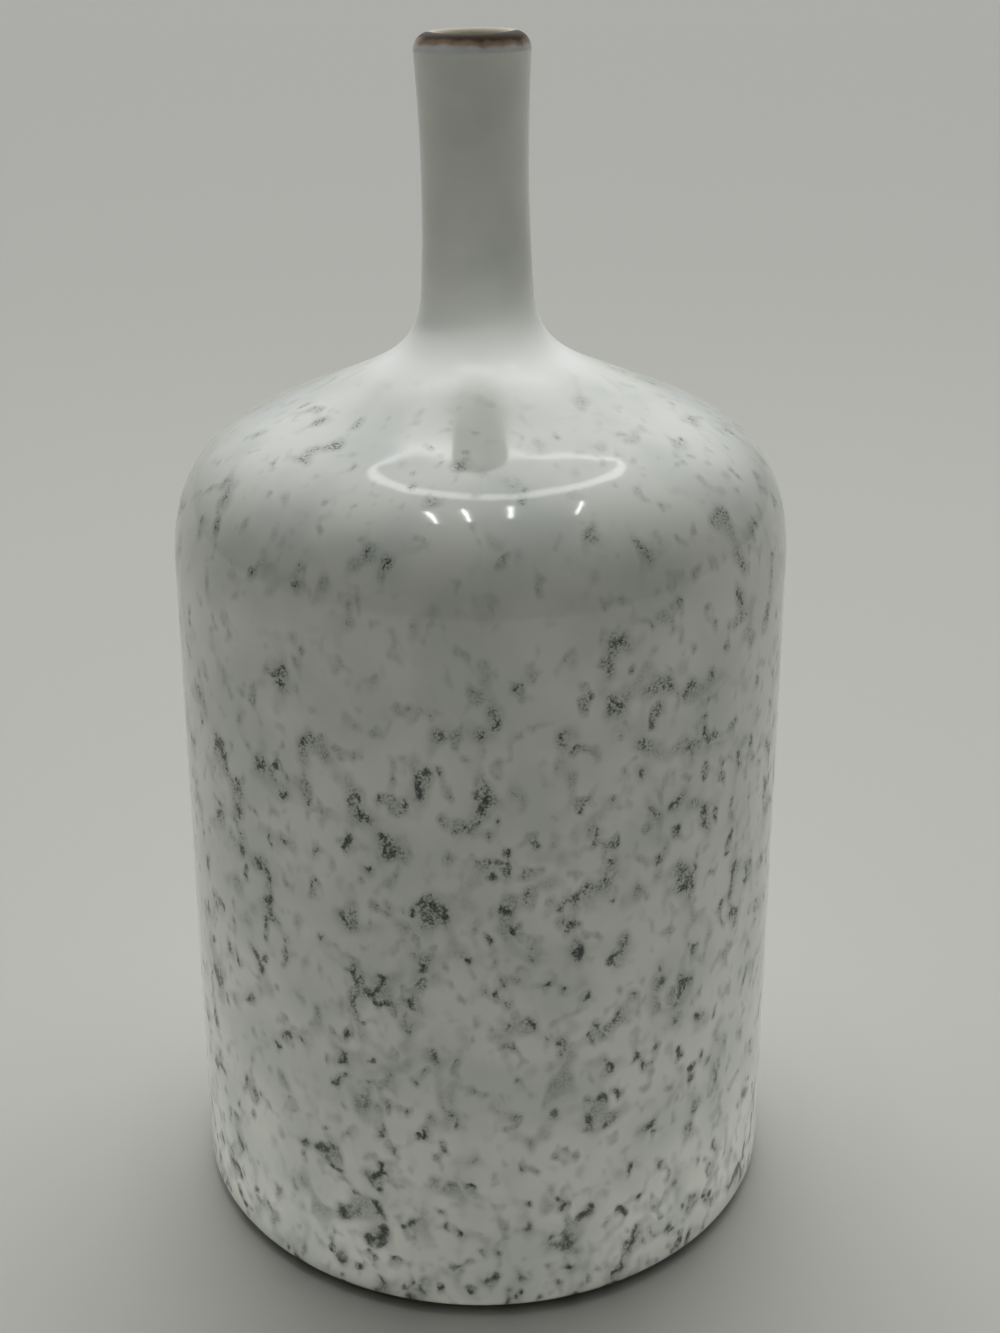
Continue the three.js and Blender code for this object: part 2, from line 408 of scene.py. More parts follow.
def fired_clay(name, colour, shade, speck):
    material, tree, shader, place = new_material(name)
    patches = add(tree, "TexNoise", {"Vector": place, "Scale": 1 / KILN_PATCH})
    patches = add(tree, "MapRange", {0: patches, 1: 0.35, 2: 0.65}, **SMOOTH)
    tone = add(tree, "Mix", {0: patches, 6: linear(colour), 7: linear(shade)}, 2, **COLOURS)
    sand = add(tree, "TexNoise", {"Vector": place, "Scale": 1 / SAND, "Detail": 3.0})
    grains = add(tree, "MapRange", {0: sand, 1: 0.45, 2: 0.75, 4: 0.35}, **SMOOTH)
    tone = add(tree, "Mix", {0: grains, 6: tone, 7: linear(shade)}, 2, **COLOURS)
    specks = add(tree, "TexVoronoi", {"Vector": place, "Scale": 1 / IRON_SPECK})
    iron = add(tree, "MapRange", {0: specks, 1: 0.16, 2: 0.06}, **SMOOTH)
    tone = add(tree, "Mix", {0: iron, 6: tone, 7: linear(speck)}, 2, **COLOURS)
    tree.links.new(tone, shader.inputs["Base Color"])
    rough = add(tree, "MapRange", {0: sand, 1: 0.3, 2: 0.7, 3: ROUGH_LOW, 4: ROUGH_HIGH})
    tree.links.new(rough, shader.inputs["Roughness"])
    relief = add(tree, "Bump", {"Height": sand, "Strength": 0.6, "Distance": SAND_RELIEF})
    tree.links.new(relief, shader.inputs["Normal"])
    print(f"{name}: {len(tree.nodes)} nodes")
    return material


stoneware = fired_clay("fired_stoneware", "#a58c72", "#8a7158", "#4a3a2c")
seam_slip = fired_clay("fired_slip", "#b39a80", "#9a8168", "#5b4a3a")

# %% [markdown]
# The speckled glaze
#
# The glaze is a glossy off-white with a cool, faintly green cast: glass over white slip, so it
# has glass's index of refraction and is nearly smooth. Iron in the clay has come through it where
# the coat broke into islands about 13 mm across, and smaller ones between. Dark grains half a
# millimetre wide gather in short arcs and hooks along the edges between the islands. Round each
# mark, and a little below it, hangs a soft grey halo, where iron has bled into the running glaze.
# Up the wall the marks thin out, only smudges of single grains cross the dome, and the neck is
# clear. Where the dome turns up into the neck the glaze has pooled: it is satin there, and drawn
# whiter, partly as painted light for the brightness that the hollow takes from the lit dome.
#
# The pattern could be painted by hand, but noise covers the back as well as the front. Cells that
# a noise has pushed out of shape are the islands. The glaze cuts through them as a knife through
# a sponge, and where a cell's edge runs along the cut it would leave a wide patch. So the edges
# are looked for at two depths, and only what is an edge at both counts. One noise then keeps only
# short stretches, one gathers them in clumps, and a fine one breaks them into grains. The grains
# are drawn a little coarser than the real ones, so that they show in the picture.

# %% Sizes of the iron marks
# In millimetres: how wide marks and halos are, how large the clumps and crowds are that they
# gather in, the size of the noise that pushes the cells about and how far it does, how far out
# the second look lies, and how far a halo hangs. The last number stretches the pattern upwards.
MARK_WIDTH = 2.9
HALO_WIDTH = 5.0
CLUMP = 3.4
CROWD_SIZE = 40.0
DRIFT_SIZE = 7.0
DRIFT = (9.0, 9.0, 9.0)
DEPTH = 2.0
SAG = 1.1
RUN_DOWN = 0.8

# The size of the islands, how long the stretches are that a noise keeps of their edges, the level
# of that noise at which they begin, and how wide the marks are against the widths above.
ISLANDS = (
    (13.0, 8.0, 0.48, 1.0),
    (7.0, 5.0, 0.52, 0.75),
)

# How far below that level marks and halos set in, and how far above it they are full.
MARK_EASE = 0.01
HALO_EASE = 0.09
FULL_AFTER = 0.12
print("the marks follow islands of", " and ".join(f"{row[0]:.0f} mm" for row in ISLANDS))

# %% How the iron changes with height
# Heights in millimetres, and how much more or less the noise has to overcome there.
DENSEST_BY, DENSER_FROM, DENSER = 15.0, 45.0, 0.025
THINNING_FROM, THINNING = 150.0, 0.1
CLEAR_FROM, CLEAR_BY = 234.0, 246.0
CROWDING = 0.14
CLUMPED = 0.55


def iron_marks(tree, place, height):
    """How strong the iron mark at each point is, and how strong its halo, from 0 to 1."""
    # Melting glaze runs down a little, so the whole pattern is longer than it is wide.
    place = add(tree, "VectorMath", {0: place, 1: (1.0, 1.0, RUN_DOWN)}, operation="MULTIPLY")
    drift = {"Vector": place, "Scale": 1 / DRIFT_SIZE, "Detail": 3.5, "Roughness": 0.55}
    drift = add(tree, "TexNoise", drift, "Color")
    drift = add(tree, "VectorMath", {0: drift, 1: (0.5, 0.5, 0.5)}, operation="SUBTRACT")
    push = {0: drift, 1: DRIFT, 2: place}
    warped = add(tree, "VectorMath", push, operation="MULTIPLY_ADD")
    sagged = add(tree, "VectorMath", {0: warped, 1: (0.0, 0.0, SAG)}, operation="ADD")

    # The second look at the same cells lies a little further out from the axis.
    outwards = {0: place, 1: (DEPTH / BASE_RADIUS, DEPTH / BASE_RADIUS, 0.0), 2: warped}
    outer = add(tree, "VectorMath", outwards, operation="MULTIPLY_ADD")

    # Higher up, the noise that keeps the marks has more to overcome, and near the foot less.
    crowds = add(tree, "TexNoise", {"Vector": place, "Scale": 1 / CROWD_SIZE, "Detail": 1.0})
    loss = add(tree, "MapRange", {0: height, 1: THINNING_FROM, 2: CLEAR_FROM, 4: THINNING})
    loss = add(tree, "Math", {0: crowds, 1: CROWDING, 2: loss}, operation="MULTIPLY_ADD")
    gain = add(tree, "MapRange", {0: height, 1: DENSER_FROM, 2: DENSEST_BY, 4: DENSER})
    loss = add(tree, "Math", {0: loss, 1: gain}, operation="SUBTRACT")

    marks, halos = [], []
    for island, stretch, level, slim in ISLANDS:
        # Each size of island reads another part of the noise.
        moved = add(tree, "VectorMath", {0: place, 1: (4 * island,) * 3}, operation="ADD")
        keep = add(tree, "TexNoise", {"Vector": moved, "Scale": 1 / stretch, "Detail": 1.0})
        keep = add(tree, "Math", {0: keep, 1: loss}, operation="SUBTRACT")
        edges = []
        for where in (warped, outer, sagged):
            cells = {"Vector": where, "Scale": 1 / island}
            edge = add(tree, "TexVoronoi", cells, feature="DISTANCE_TO_EDGE")
            edges.append(add(tree, "Math", {0: edge, 1: island}, operation="MULTIPLY"))
        at_both_depths = add(tree, "Math", {0: edges[0], 1: edges[1]}, operation="MAXIMUM")
        for edge, width, ease, found in (
            (at_both_depths, MARK_WIDTH, MARK_EASE, marks),
            (edges[2], HALO_WIDTH, HALO_EASE, halos),
        ):
            near = add(tree, "MapRange", {0: edge, 1: width * slim, 2: 0.0}, **SMOOTH)
            between = {0: keep, 1: level - ease, 2: level + FULL_AFTER}
            kept = add(tree, "MapRange", between, **SMOOTH)
            found.append(add(tree, "Math", {0: near, 1: kept}, operation="MULTIPLY"))

    # The marks gather in clumps, and marks and halos end below the root of the neck.
    clear = add(tree, "MapRange", {0: height, 1: CLEAR_FROM, 2: CLEAR_BY, 3: 1.0, 4: 0.0})
    clumps = add(tree, "TexNoise", {"Vector": place, "Scale": 1 / CLUMP, "Detail": 1.0})
    clumps = add(tree, "MapRange", {0: clumps, 1: 0.48, 2: 0.62, 3: 1.0, 4: CLUMPED}, **SMOOTH)
    clumps = add(tree, "Math", {0: clumps, 1: clear}, operation="MULTIPLY")
    mark = add(tree, "Math", {0: marks[0], 1: marks[1]}, operation="MAXIMUM")
    mark = add(tree, "Math", {0: mark, 1: clumps}, operation="MULTIPLY")
    halo = add(tree, "Math", {0: halos[0], 1: halos[1]}, operation="MAXIMUM")
    halo = add(tree, "Math", {0: halo, 1: clear}, operation="MULTIPLY")
    return mark, halo


print("the marks end", CLEAR_BY, "mm above the table")

# %% Sizes, heights and gloss of the glaze
# Grains, clouds in the coat and ripples of its surface in millimetres, the ripples' depth in metres.
GRAIN = 0.7
CLOUD = 22.0
RIPPLE = 14.0
RIPPLE_RELIEF = 0.00012

# Glass, glossy all over but for the pooled glaze, and a little duller over iron.
GLAZE_IOR = 1.52
GLOSSY, SATIN = 0.075, 0.25
SATIN_FROM, SATIN_BY = 232.0, 238.0
IRON_DULLS = 0.1

# Upwards the marks weaken, and their grains lie further apart.
SMUDGED_BY, SMUDGED = 215.0, 0.62
SPECKS_FROM, GRAINS_LOW, GRAINS_HIGH = 40.0, 0.65, 2.8

# How strong a mark has to be to show at all and to be black: near the foot, and higher up.
BLURRED_BY, BLURRED_FROM = 15.0, 70.0
SHOWS_LOW, SHOWS_HIGH = 0.06, 0.21
BLACK_LOW, BLACK_HIGH = 1.15, 1.05

# A halo is paler or darker with the grains in it.
HALO_PALE, HALO_DARK = 0.38, 0.85

# The heights of the pooled glaze, drawn whiter partly as painted light, and of the brown iron,
# whose edge the clouds make ragged.
POOL_FROM, POOL_BY = 238.0, 246.0
POOL_FADES_FROM, POOL_ENDS = 250.0, 272.0
BROWN_BY, BROWN_FROM = 22.0, 38.0
BROWN_SPREAD = 40.0
print(f"the pooled glaze lies between {POOL_FROM:.0f} and {POOL_ENDS:.0f} mm")


# %% The glaze itself
def speckled_glaze(name):
    material, tree, shader, place = new_material(name)
    height = add(tree, "SeparateXYZ", {0: place}, "Z")
    mark, halo = iron_marks(tree, place, height)

    # High up the marks are weaker, so they are smudges of grains without a core.
    fade = {0: height, 1: THINNING_FROM, 2: SMUDGED_BY, 3: 1.0, 4: SMUDGED}
    weaker = add(tree, "MapRange", fade)
    mark = add(tree, "Math", {0: mark, 1: weaker}, operation="MULTIPLY")
    grains = {"Vector": place, "Scale": 1 / GRAIN, "Detail": 2.0, "Roughness": 0.6}
    grains = add(tree, "TexNoise", grains)
    grains = add(tree, "Math", {0: grains, 1: 0.5}, operation="SUBTRACT")

    # On the dome the grains lie apart as specks. Low down they run together.
    apart = {0: height, 1: SPECKS_FROM, 2: SMUDGED_BY, 3: GRAINS_LOW, 4: GRAINS_HIGH}
    sharp = add(tree, "MapRange", apart)
    grit = add(tree, "Math", {0: grains, 1: sharp}, operation="MULTIPLY")
    grit = add(tree, "Math", {0: grit, 1: halo}, operation="MULTIPLY")
    grainy = add(tree, "Math", {0: grit, 1: mark}, operation="ADD")

    # Near the foot each mark ends in a soft blur.
    blur = {0: height, 1: BLURRED_BY, 2: BLURRED_FROM}
    shows = add(tree, "MapRange", {**blur, 3: SHOWS_LOW, 4: SHOWS_HIGH})
    is_black = add(tree, "MapRange", {**blur, 3: BLACK_LOW, 4: BLACK_HIGH})
    iron = add(tree, "MapRange", {0: grainy, 1: shows, 2: is_black}, **SMOOTH)

    # The coat is thicker in some places than in others, and iron that bled into it makes it grey.
    clouds = add(tree, "TexNoise", {"Vector": place, "Scale": 1 / CLOUD})
    cloudy = add(tree, "MapRange", {0: clouds, 1: 0.35, 2: 0.7}, **SMOOTH)
    white, grey = linear("#dadbd2"), linear("#cacec5")
    colour = add(tree, "Mix", {0: cloudy, 6: white, 7: grey}, 2, **COLOURS)
    sandy = add(tree, "MapRange", {0: grit, 1: -0.2, 2: 0.27, 3: HALO_PALE, 4: HALO_DARK})
    bled = add(tree, "Math", {0: halo, 1: sandy}, operation="MULTIPLY")
    colour = add(tree, "Mix", {0: bled, 6: colour, 7: linear("#7f867d")}, 2, **COLOURS)

    # In the hollow round the root of the neck the glaze has pooled. It is drawn whiter there, partly
    # as painted light for the brightness that the hollow takes from the lit dome.
    up_to = add(tree, "MapRange", {0: height, 1: POOL_FROM, 2: POOL_BY}, **SMOOTH)
    down_to = add(tree, "MapRange", {0: height, 1: POOL_ENDS, 2: POOL_FADES_FROM}, **SMOOTH)
    pooled_and_painted_light = add(tree, "Math", {0: up_to, 1: down_to}, operation="MULTIPLY")
    colour = add(tree, "Mix", {0: pooled_and_painted_light, 6: colour, 7: linear("#eceee8")}, 2, **COLOURS)

    # Near the foot, where the glaze is thin, some of the iron is brown.
    rise = add(tree, "Math", {0: clouds, 1: BROWN_SPREAD, 2: height}, operation="MULTIPLY_ADD")
    browner = add(tree, "MapRange", {0: rise, 1: BROWN_FROM, 2: BROWN_BY}, **SMOOTH)
    black, brown = linear("#393e37"), linear("#4f3f2d")
    metal = add(tree, "Mix", {0: browner, 6: black, 7: brown}, 2, **COLOURS)
    colour = add(tree, "Mix", {0: iron, 6: colour, 7: metal}, 2, **COLOURS)
    tree.links.new(colour, shader.inputs["Base Color"])

    # The pooled glaze is less glossy than the rest, and so is the glaze over the iron.
    gloss = {0: height, 1: SATIN_FROM, 2: SATIN_BY, 3: GLOSSY, 4: SATIN}
    satin = add(tree, "MapRange", gloss, **SMOOTH)
    rough = add(tree, "Math", {0: iron, 1: IRON_DULLS, 2: satin}, operation="MULTIPLY_ADD")
    tree.links.new(rough, shader.inputs["Roughness"])
    shader.inputs["IOR"].default_value = GLAZE_IOR
    waves = add(tree, "TexNoise", {"Vector": place, "Scale": 1 / RIPPLE, "Detail": 1.0})
    relief = add(tree, "Bump", {"Height": waves, "Strength": 1.0, "Distance": RIPPLE_RELIEF})
    tree.links.new(relief, shader.inputs["Normal"])
    print(f"{name}: {len(tree.nodes)} nodes")
    return material


glaze = speckled_glaze("speckled_gloss_glaze")

# %% [markdown]
# The liner and the iron band
#
# Inside, the pot has a plain cream liner that holds water. Over the lip the outer glaze ran thin,
# so the iron of the clay shows through as a brown band. It is darkest on the crest, where it has
# dried matt, turns rusty on the outer rounding, and fades through a cool grey into the glaze of
# the neck. Inside it meets the cream, which is drawn a little further over the crest at the back:
# partly a real run of the liner, partly a painted highlight where the light from behind catches
# the far crest.

# %% Liner glaze
LINER_CLOUD = 16.0
LINER_IOR = 1.5


def liner_glaze(name):
    material, tree, shader, place = new_material(name)
    patches = add(tree, "TexNoise", {"Vector": place, "Scale": 1 / LINER_CLOUD})
    cloudy = add(tree, "MapRange", {0: patches, 1: 0.35, 2: 0.65}, **SMOOTH)
    cream, buff = linear("#cbc6b4"), linear("#bdb7a2")
    colour = add(tree, "Mix", {0: cloudy, 6: cream, 7: buff}, 2, **COLOURS)
    tree.links.new(colour, shader.inputs["Base Color"])
    rough = add(tree, "MapRange", {0: patches, 1: 0.3, 2: 0.7, 3: 0.14, 4: 0.24})
    tree.links.new(rough, shader.inputs["Roughness"])
    shader.inputs["IOR"].default_value = LINER_IOR
    print(f"{name}: {len(tree.nodes)} nodes")
    return material


liner = liner_glaze("cream_liner_glaze")

# %% Iron band
# The three zones of the band, from below, with the size and the reach of their ragged edges.
ASH_FROM, ASH_BY = TOP - 3.4, TOP - 1.6
RUST_FROM, RUST_BY = TOP - 2.0, TOP - 0.9
IRON_FROM, IRON_BY = TOP - 1.1, TOP + 0.4
RAG_SIZE = 5.0
RAGGED = 2.4

# How much further over the crest the cream comes at the back, partly as a painted highlight on
# the far crest, and how little the dry iron shines.
CREAM_AND_HIGHLIGHT_FRONT, CREAM_AND_HIGHLIGHT_BACK, CREAM_AND_HIGHLIGHT_REACH = -5.0, 6.0, 2.4
BAND_SHINE = 0.02


def iron_band(name):
    material, tree, shader, place = new_material(name)
    height = add(tree, "SeparateXYZ", {0: place}, "Z")
    rags = add(tree, "TexNoise", {"Vector": place, "Scale": 1 / RAG_SIZE, "Detail": 3.0})
    level = add(tree, "Math", {0: rags, 1: RAGGED, 2: height}, operation="MULTIPLY_ADD")
    ash = add(tree, "MapRange", {0: level, 1: ASH_FROM, 2: ASH_BY}, **SMOOTH)
    rust = add(tree, "MapRange", {0: level, 1: RUST_FROM, 2: RUST_BY}, **SMOOTH)
    iron = add(tree, "MapRange", {0: level, 1: IRON_FROM, 2: IRON_BY}, **SMOOTH)
    colour = linear("#cdd2ca")
    for share, tint in ((ash, "#b3b5b2"), (rust, "#83705f"), (iron, "#352c1d")):
        colour = add(tree, "Mix", {0: share, 6: colour, 7: linear(tint)}, 2, **COLOURS)

    # The band gives way to the cream of the liner at the crest, and behind it a little before, where
    # the lighter cream is partly a painted highlight of the light from behind.
    upright = add(tree, "VectorMath", {0: place, 1: (LEAN, 0.0, 0.0)}, operation="ADD")
    flat = add(tree, "VectorMath", {0: upright, 1: (1.0, 1.0, 0.0)}, operation="MULTIPLY")
    radius = add(tree, "VectorMath", {0: flat}, "Value", operation="LENGTH")
    behind = add(tree, "SeparateXYZ", {0: upright}, "Y")
    over = {0: behind, 1: CREAM_AND_HIGHLIGHT_FRONT, 2: CREAM_AND_HIGHLIGHT_BACK, 4: CREAM_AND_HIGHLIGHT_REACH}
    cream_and_highlight_reach = add(tree, "MapRange", over, **SMOOTH)
    inward = add(tree, "Math", {0: cream_and_highlight_reach, 1: radius}, operation="SUBTRACT")
    cream_and_highlight = {0: inward, 1: -LIP_CREST_RADIUS, 2: 1.0 - LIP_CREST_RADIUS}
    cream_and_highlight = add(tree, "MapRange", cream_and_highlight, **SMOOTH)
    colour = add(tree, "Mix", {0: cream_and_highlight, 6: colour, 7: linear("#b5ae9a")}, 2, **COLOURS)
    tree.links.new(colour, shader.inputs["Base Color"])
    rough = add(tree, "MapRange", {0: iron, 3: 0.16, 4: 0.4})
    tree.links.new(rough, shader.inputs["Roughness"])
    shader.inputs["IOR"].default_value = GLAZE_IOR
    shader.inputs["Specular IOR Level"].default_value = BAND_SHINE
    print(f"{name}: {len(tree.nodes)} nodes")
    return material


band = iron_band("iron_brown_lip")

# %% [markdown]
# The foot
#
# The pot stands on a low turned ring, set in from the edge so that the wall seems to float a little
# over the table. It is luted into a shallow recess in the underside with slip. Its two lower edges
# are rounded, because a sharp edge of fired clay chips and scratches the table.

# %% Foot ring and its slip
foot_inside = FOOT_RADIUS - FOOT_WIDTH
foot_top = UNDERSIDE + SEAT_DEPTH - SLIP
seat_inner = foot_inside - SEAT_CLEARANCE
seat_outer = FOOT_RADIUS + SEAT_CLEARANCE
seat_top = UNDERSIDE + SEAT_DEPTH

foot_outline = [
    *arc(Vector((foot_inside + FOOT_ROUND, FOOT_ROUND)), FOOT_ROUND, 180, 270, FOOT_STEPS),
    *arc(Vector((FOOT_RADIUS - FOOT_ROUND, FOOT_ROUND)), FOOT_ROUND, 270, 360, FOOT_STEPS),
    Vector((FOOT_RADIUS, foot_top)),
    Vector((foot_inside, foot_top)),
]
slip_outline = [
    Vector((seat_inner, foot_top)),
    Vector((seat_outer, foot_top)),
    Vector((seat_outer, seat_top)),
    Vector((seat_inner, seat_top)),
]
turn("foot_ring", foot_outline, stoneware)
turn("foot_slip", slip_outline, seam_slip)

# %% [markdown]
# The body
#
# The body is a thrown cylinder: a flat floor, a rounded inside corner where the potter's fingers
# turned up, and a wall that thins as it rises. Its top carries a scored V for the seam. The outline
# starts and ends on the axis, so the spun shape closes there by itself.


# %% Body
def seam_key(outer, inner):
    """The scored V across a seam: the point halfway through the wall, sunk towards the foot."""
    across = inner - outer
    upwards = Vector((across.y, -across.x)).normalized()
    return outer.lerp(inner, 0.5) - upwards * KEY_DEPTH


def corner(coat):
    """The floor inside, and the round that carries it up into the wall."""
    rounding = CORNER_ROUND - coat
    centre = Vector((BASE_RADIUS - OUTER_GLAZE - BODY_WALL - CORNER_ROUND, FLOOR_TOP + CORNER_ROUND))
    return [Vector((0, centre.y - rounding))] + arc(centre, rounding, -90, 0, CORNER_STEPS)


CLAY_EDGE_ROUND = BASE_ROUND - OUTER_GLAZE
clay_edge = arc(edge_centre, CLAY_EDGE_ROUND, GLAZE_STOP, 0, EDGE_STEPS)
body_outline = [
    Vector((0, UNDERSIDE)),
    Vector((seat_inner, UNDERSIDE)),
    Vector((seat_inner, seat_top)),
    Vector((seat_outer, seat_top)),
    Vector((seat_outer, UNDERSIDE)),
    Vector((edge_centre.x, UNDERSIDE)),
    *clay_edge,
    *clay_outer["wall"][1:],
    seam_key(clay_outer["wall"][-1], clay_inner["wall"][-1]),
    *reversed(above_corner(clay_inner["wall"])),
    *reversed(corner(0)),
]
turn("body", body_outline, stoneware, closed=False)

# %% [markdown]
# Shoulder, neck and the seams between them
#
# The dome and the neck were thrown apart and joined leather-hard. Each seam is a V scored into the
# clay and filled with slip, which grips both sides. None of it shows once the pot is glazed, but
# the sections are modelled with their seams, so that the pot can be shown in section.


# %% Shoulder, neck and slip seams
def seam_ring(stretch):
    outer, inner = clay_outer[stretch], clay_inner[stretch]
    return [
        outer[0],
        outer[-1],
        seam_key(outer[-1], inner[-1]),
        inner[-1],
        inner[0],
        seam_key(outer[0], inner[0]),
    ]


shoulder_outline = [
    *clay_outer["dome"],
    seam_key(clay_outer["dome"][-1], clay_inner["dome"][-1]),
    *reversed(clay_inner["dome"]),
    seam_key(clay_outer["dome"][0], clay_inner["dome"][0]),
]
neck_outline = [
    *clay_outer["root"],
    *clay_outer["neck"][1:-1],
    *lip_clay,
    *reversed(clay_inner["neck"][1:-1]),
    *reversed(clay_inner["root"]),
    seam_key(clay_outer["root"][0], clay_inner["root"][0]),
]
turn("shoulder_slip", seam_ring("shoulder_seam"), seam_slip)
turn("shoulder", shoulder_outline, stoneware)
turn("neck_slip", seam_ring("neck_seam"), seam_slip)
turn("neck", neck_outline, stoneware)

# %% [markdown]
# The fired coats
#
# Glaze is a layer of glass with a thickness of its own. It is modelled as one, lying on the clay
# face to face. The outer coat stops on the underside of the lower edge, where the potter wiped it
# off so that the pot wouldn't stick to the kiln shelf.

# %% Outer glaze, liner and lip band
outer_outline = [
    *arc(edge_centre, BASE_ROUND, GLAZE_STOP, 0, EDGE_STEPS),
    *whole_run(over_glaze),
    *reversed(whole_run(clay_outer)),
    *reversed(clay_edge),
]
inner_outline = [
    *corner(0),
    *above_corner(whole_run(clay_inner)),
    *reversed(above_corner(whole_run(over_liner))),
    *reversed(corner(INNER_GLAZE)),
]
band_outline = [*lip_over_band, *reversed(lip_clay)]
turn("outer_glaze", outer_outline, glaze)
turn("inner_glaze", inner_outline, liner, closed=False)
turn("lip_band", band_outline, band)

# %% [markdown]
# The studio
#
# The pot stands on a pale sheet, so wide that its edge lies outside the picture. The light comes
# from a soft glow above and behind, strongest 50 degrees up and fading evenly all round, so the
# gloss mirrors no lamp with an edge. The dome, which faces it, is the brightest part and the wall
# is in soft shade. Only one thin lamp is seen in the gloss: a tube bent into an oval, hung flat
# over the pot, with its ends swung back. Four slim lamps leave glints on the shoulder. Five
# glowing cards on the table lift the lower wall and its rounded edge, and two narrow beams lift
# the root of the neck. Neither cards nor beams show in the gloss.


# %% Floor
FLOOR_RADIUS = 9.0


def pale_floor():
    disc = bmesh.new()
    bmesh.ops.create_circle(disc, cap_ends=True, radius=FLOOR_RADIUS, segments=96)
    data = bpy.data.meshes.new("floor")
    disc.to_mesh(data)
    disc.free()
    paper, _, shader, _ = new_material("matt_paper")
    shader.inputs["Base Color"].default_value = linear("#c6c5be")
    shader.inputs["Roughness"].default_value = 1.0
    shader.inputs["Specular IOR Level"].default_value = 0.1
    data.materials.append(paper)
    floor = bpy.data.objects.new("floor", data)
    bpy.context.scene.collection.objects.link(floor)
    print(f"the floor is {2 * FLOOR_RADIUS:.0f} m across")


pale_floor()


# %% Lights
def flat_lamp(name, place, heading, length, width, brightness):
    """A thin lamp that lies level and shines down, with its long side along the heading."""
    light = bpy.data.lights.new(name, "AREA")
    light.shape = "RECTANGLE"
    light.size = length
    light.size_y = width
    light.energy = brightness * math.pi * length * width
    lamp = bpy.data.objects.new(name, light)
    lamp.matrix_world = Matrix.Translation(place) @ Matrix.Rotation(heading, 4, "Z")
    lamp.visible_camera = False
    bpy.context.scene.collection.objects.link(lamp)
    return lamp


# %% The oval lamp and the glints
# In metres: where the oval hangs, half its width and half its depth. Its far side bulges, its ends
# swing back, the right one further than the left, and its tube is thinner at the far side.
OVAL_SEGMENTS = 48
OVAL_MIDDLE = Vector((0.035, 0.246, 0.97))
OVAL_REACH = 0.333
OVAL_DEPTH = 0.13
OVAL_BULGE = 0.11
OVAL_SWING = 0.205
OVAL_TURN = 0.04
OVAL_THICKNESS = 0.032
OVAL_THINNING = 0.015
OVAL_BRIGHTNESS = 3.4

# Where the slim lamps hang, all at one height and heading.
GLINT_PLACES = ((-0.30, -0.08), (-0.10, -0.05), (0.14, 0.02), (0.56, 0.13))
GLINT_HEIGHT = 1.7
GLINT_HEADING = math.radians(96)
GLINT_LENGTH = 0.28
GLINT_WIDTH = 0.015
GLINT_BRIGHTNESS = 38.0


def on_oval(i):
    """A point on the oval lamp, from its right end round by the far side."""
    angle = math.tau * i / OVAL_SEGMENTS
    across = math.cos(angle)
    back = OVAL_DEPTH * (math.sin(angle) + OVAL_BULGE * math.sin(3 * angle))
    back += OVAL_SWING * across * across + OVAL_TURN * across
    return OVAL_MIDDLE + Vector((OVAL_REACH * across, back, 0))


for i in range(OVAL_SEGMENTS):
    along = on_oval(i + 1) - on_oval(i)
    # The dome is flatter where it mirrors the far side, and spreads it, so that side is thinner.
    thickness = OVAL_THICKNESS - OVAL_THINNING * math.sin(math.tau * (i + 0.5) / OVAL_SEGMENTS)
    heading = math.atan2(along.y, along.x)
    flat_lamp(f"oval_{i}", on_oval(i + 0.5), heading, along.length, thickness, OVAL_BRIGHTNESS)

for i, place in enumerate(GLINT_PLACES):
    hung = (*place, GLINT_HEIGHT)
    flat_lamp(f"glint_{i}", hung, GLINT_HEADING, GLINT_LENGTH, GLINT_WIDTH, GLINT_BRIGHTNESS)
print(OVAL_SEGMENTS, "short lamps make the oval, and", len(GLINT_PLACES), "leave glints")

# %% Cards on the table, in front, at the sides and at the two front corners
CARD_HEIGHT = 0.001

# Where each card lies, its heading in degrees, its length and width, and its brightness.
table_cards = (
    (0, -0.14, 0, 0.34, 0.11, 0.48),
    (-0.14, -0.02, 90, 0.34, 0.11, 0.7),
    (0.14, -0.02, 90, 0.34, 0.11, 0.74),
    (-0.071, -0.071, -45, 0.09, 0.02, 0.85),
    (0.071, -0.071, 45, 0.09, 0.02, 0.7),
)
for i, (x, y, heading, length, width, brightness) in enumerate(table_cards):
    heading = math.radians(heading)
    card = flat_lamp(f"table_card_{i}", (x, y, CARD_HEIGHT), heading, length, width, brightness)
    card.rotation_euler.x = math.pi
    card.visible_glossy = False
print(len(table_cards), "cards lie on the table")


# %% Two beams that pick out the root of the neck, where the glaze is whitest
BEAM_SOURCE = 0.01


def soft_beam(name, source, target, radius, strength):
    """A round beam that fades to nothing at its edge, and isn't seen in the gloss."""
    throw = target - source
    light = bpy.data.lights.new(name, "SPOT")
    light.energy = strength * 4 * math.pi * throw.length_squared
    light.spot_size = 2 * math.atan(radius / throw.length)
    light.spot_blend = 1.0
    light.shadow_soft_size = BEAM_SOURCE
    lamp = bpy.data.objects.new(name, light)
    lamp.location = source
    lamp.rotation_euler = throw.to_track_quat("-Z", "Y").to_euler()
    lamp.visible_glossy = False
    bpy.context.scene.collection.objects.link(lamp)


# Each beam's name, where it comes from, where it falls, its radius there and its strength.
beams = (
    ("beam_above", Vector((0, 0, 1.25)), Vector((0, 0, 0.25)), 0.038, 0.85),
    ("beam_front", Vector((0, -0.52, 1.12)), Vector((0, -0.016, 0.249)), 0.024, 0.75),
)
for beam in beams:
    soft_beam(*beam)
print(len(beams), "beams light the root of the neck")

# %% The soft glow all round
# How high the glow is strongest, how fast it falls off around that, how strong it is, and what is
# left of it on the other side.
GLOW_HEIGHT = math.radians(50)
GLOW_GATHERING = 5.2
GLOW_STRENGTH = 2.85
EVEN_LIGHT = 0.045

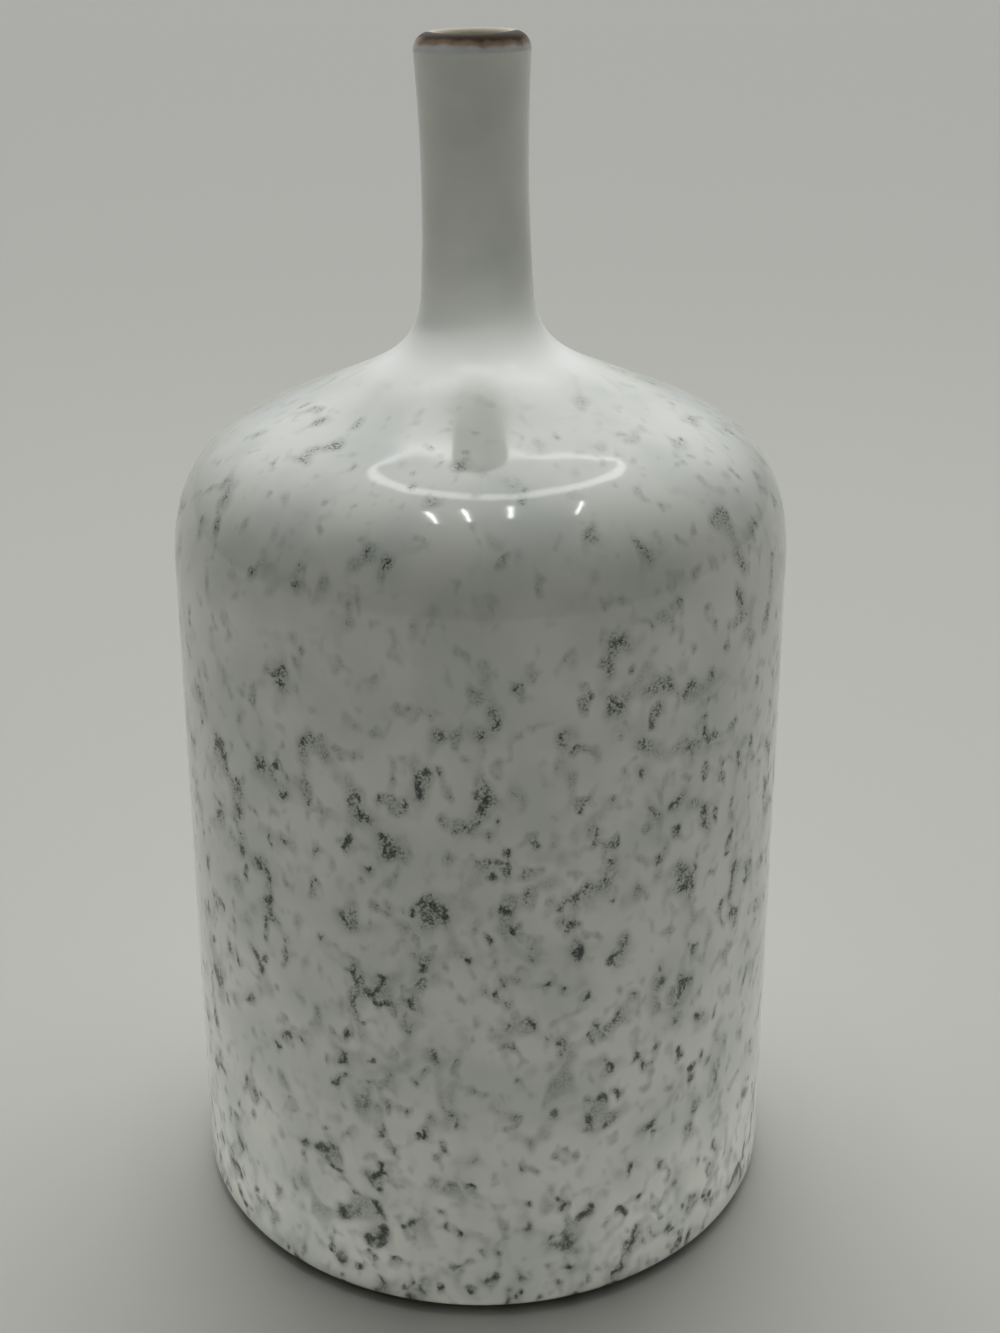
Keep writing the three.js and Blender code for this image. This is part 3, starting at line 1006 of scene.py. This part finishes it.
world = bpy.data.worlds.new("studio")
bpy.context.scene.world = world
world.use_nodes = True
sky = world.node_tree
towards = add(sky, "TexCoord", {}, "Generated")
glow_from = (0.0, math.cos(GLOW_HEIGHT), math.sin(GLOW_HEIGHT))
facing = add(sky, "VectorMath", {0: towards, 1: glow_from}, "Value", operation="DOT_PRODUCT")
fall = {0: facing, 1: GLOW_GATHERING, 2: -GLOW_GATHERING}
fall = add(sky, "Math", fall, operation="MULTIPLY_ADD")
glow = add(sky, "Math", {0: fall}, operation="EXPONENT")
glow = {0: glow, 1: GLOW_STRENGTH, 2: EVEN_LIGHT}
glow = add(sky, "Math", glow, operation="MULTIPLY_ADD")
sky.links.new(glow, sky.nodes["Background"].inputs["Strength"])
sky.nodes["Background"].inputs["Color"].default_value = linear("#fbfdff")
print("the glow is strongest", round(math.degrees(GLOW_HEIGHT)), "degrees up")

# %% [markdown]
# The camera
#
# The photograph was taken from close by and a little above, looking down at the pot, which is why
# the wall seems to narrow towards the foot and the foot shows as a deep curve. The distance, the
# tilt and the focal length were worked out from the outline of the pot.

# %% Camera
FRAME_HEIGHT_PIXELS = 1333
FOCAL_PIXELS = 1751.6
SENSOR = 36.0
CAMERA_RIGHT = 0.0051
CAMERA_BACK = 0.4472
CAMERA_HEIGHT = 0.3505
LOOKING_DOWN = 23.857
print(f"the camera is {CAMERA_BACK:.2f} m in front and looks down by {LOOKING_DOWN} degrees")

camera_data = bpy.data.cameras.new("camera")
camera_data.sensor_fit = "VERTICAL"
camera_data.sensor_height = SENSOR
camera_data.lens = FOCAL_PIXELS / FRAME_HEIGHT_PIXELS * SENSOR
camera = bpy.data.objects.new("camera", camera_data)
camera.location = (CAMERA_RIGHT, -CAMERA_BACK, CAMERA_HEIGHT + UNDERSIDE * MM)
camera.rotation_euler = (math.radians(90 - LOOKING_DOWN), 0, 0)
bpy.context.scene.collection.objects.link(camera)
bpy.context.scene.camera = camera
bpy.context.scene.view_settings.view_transform = "Standard"
print(f"the lens is {camera_data.lens:.1f} mm on a sensor {SENSOR:.0f} mm high")
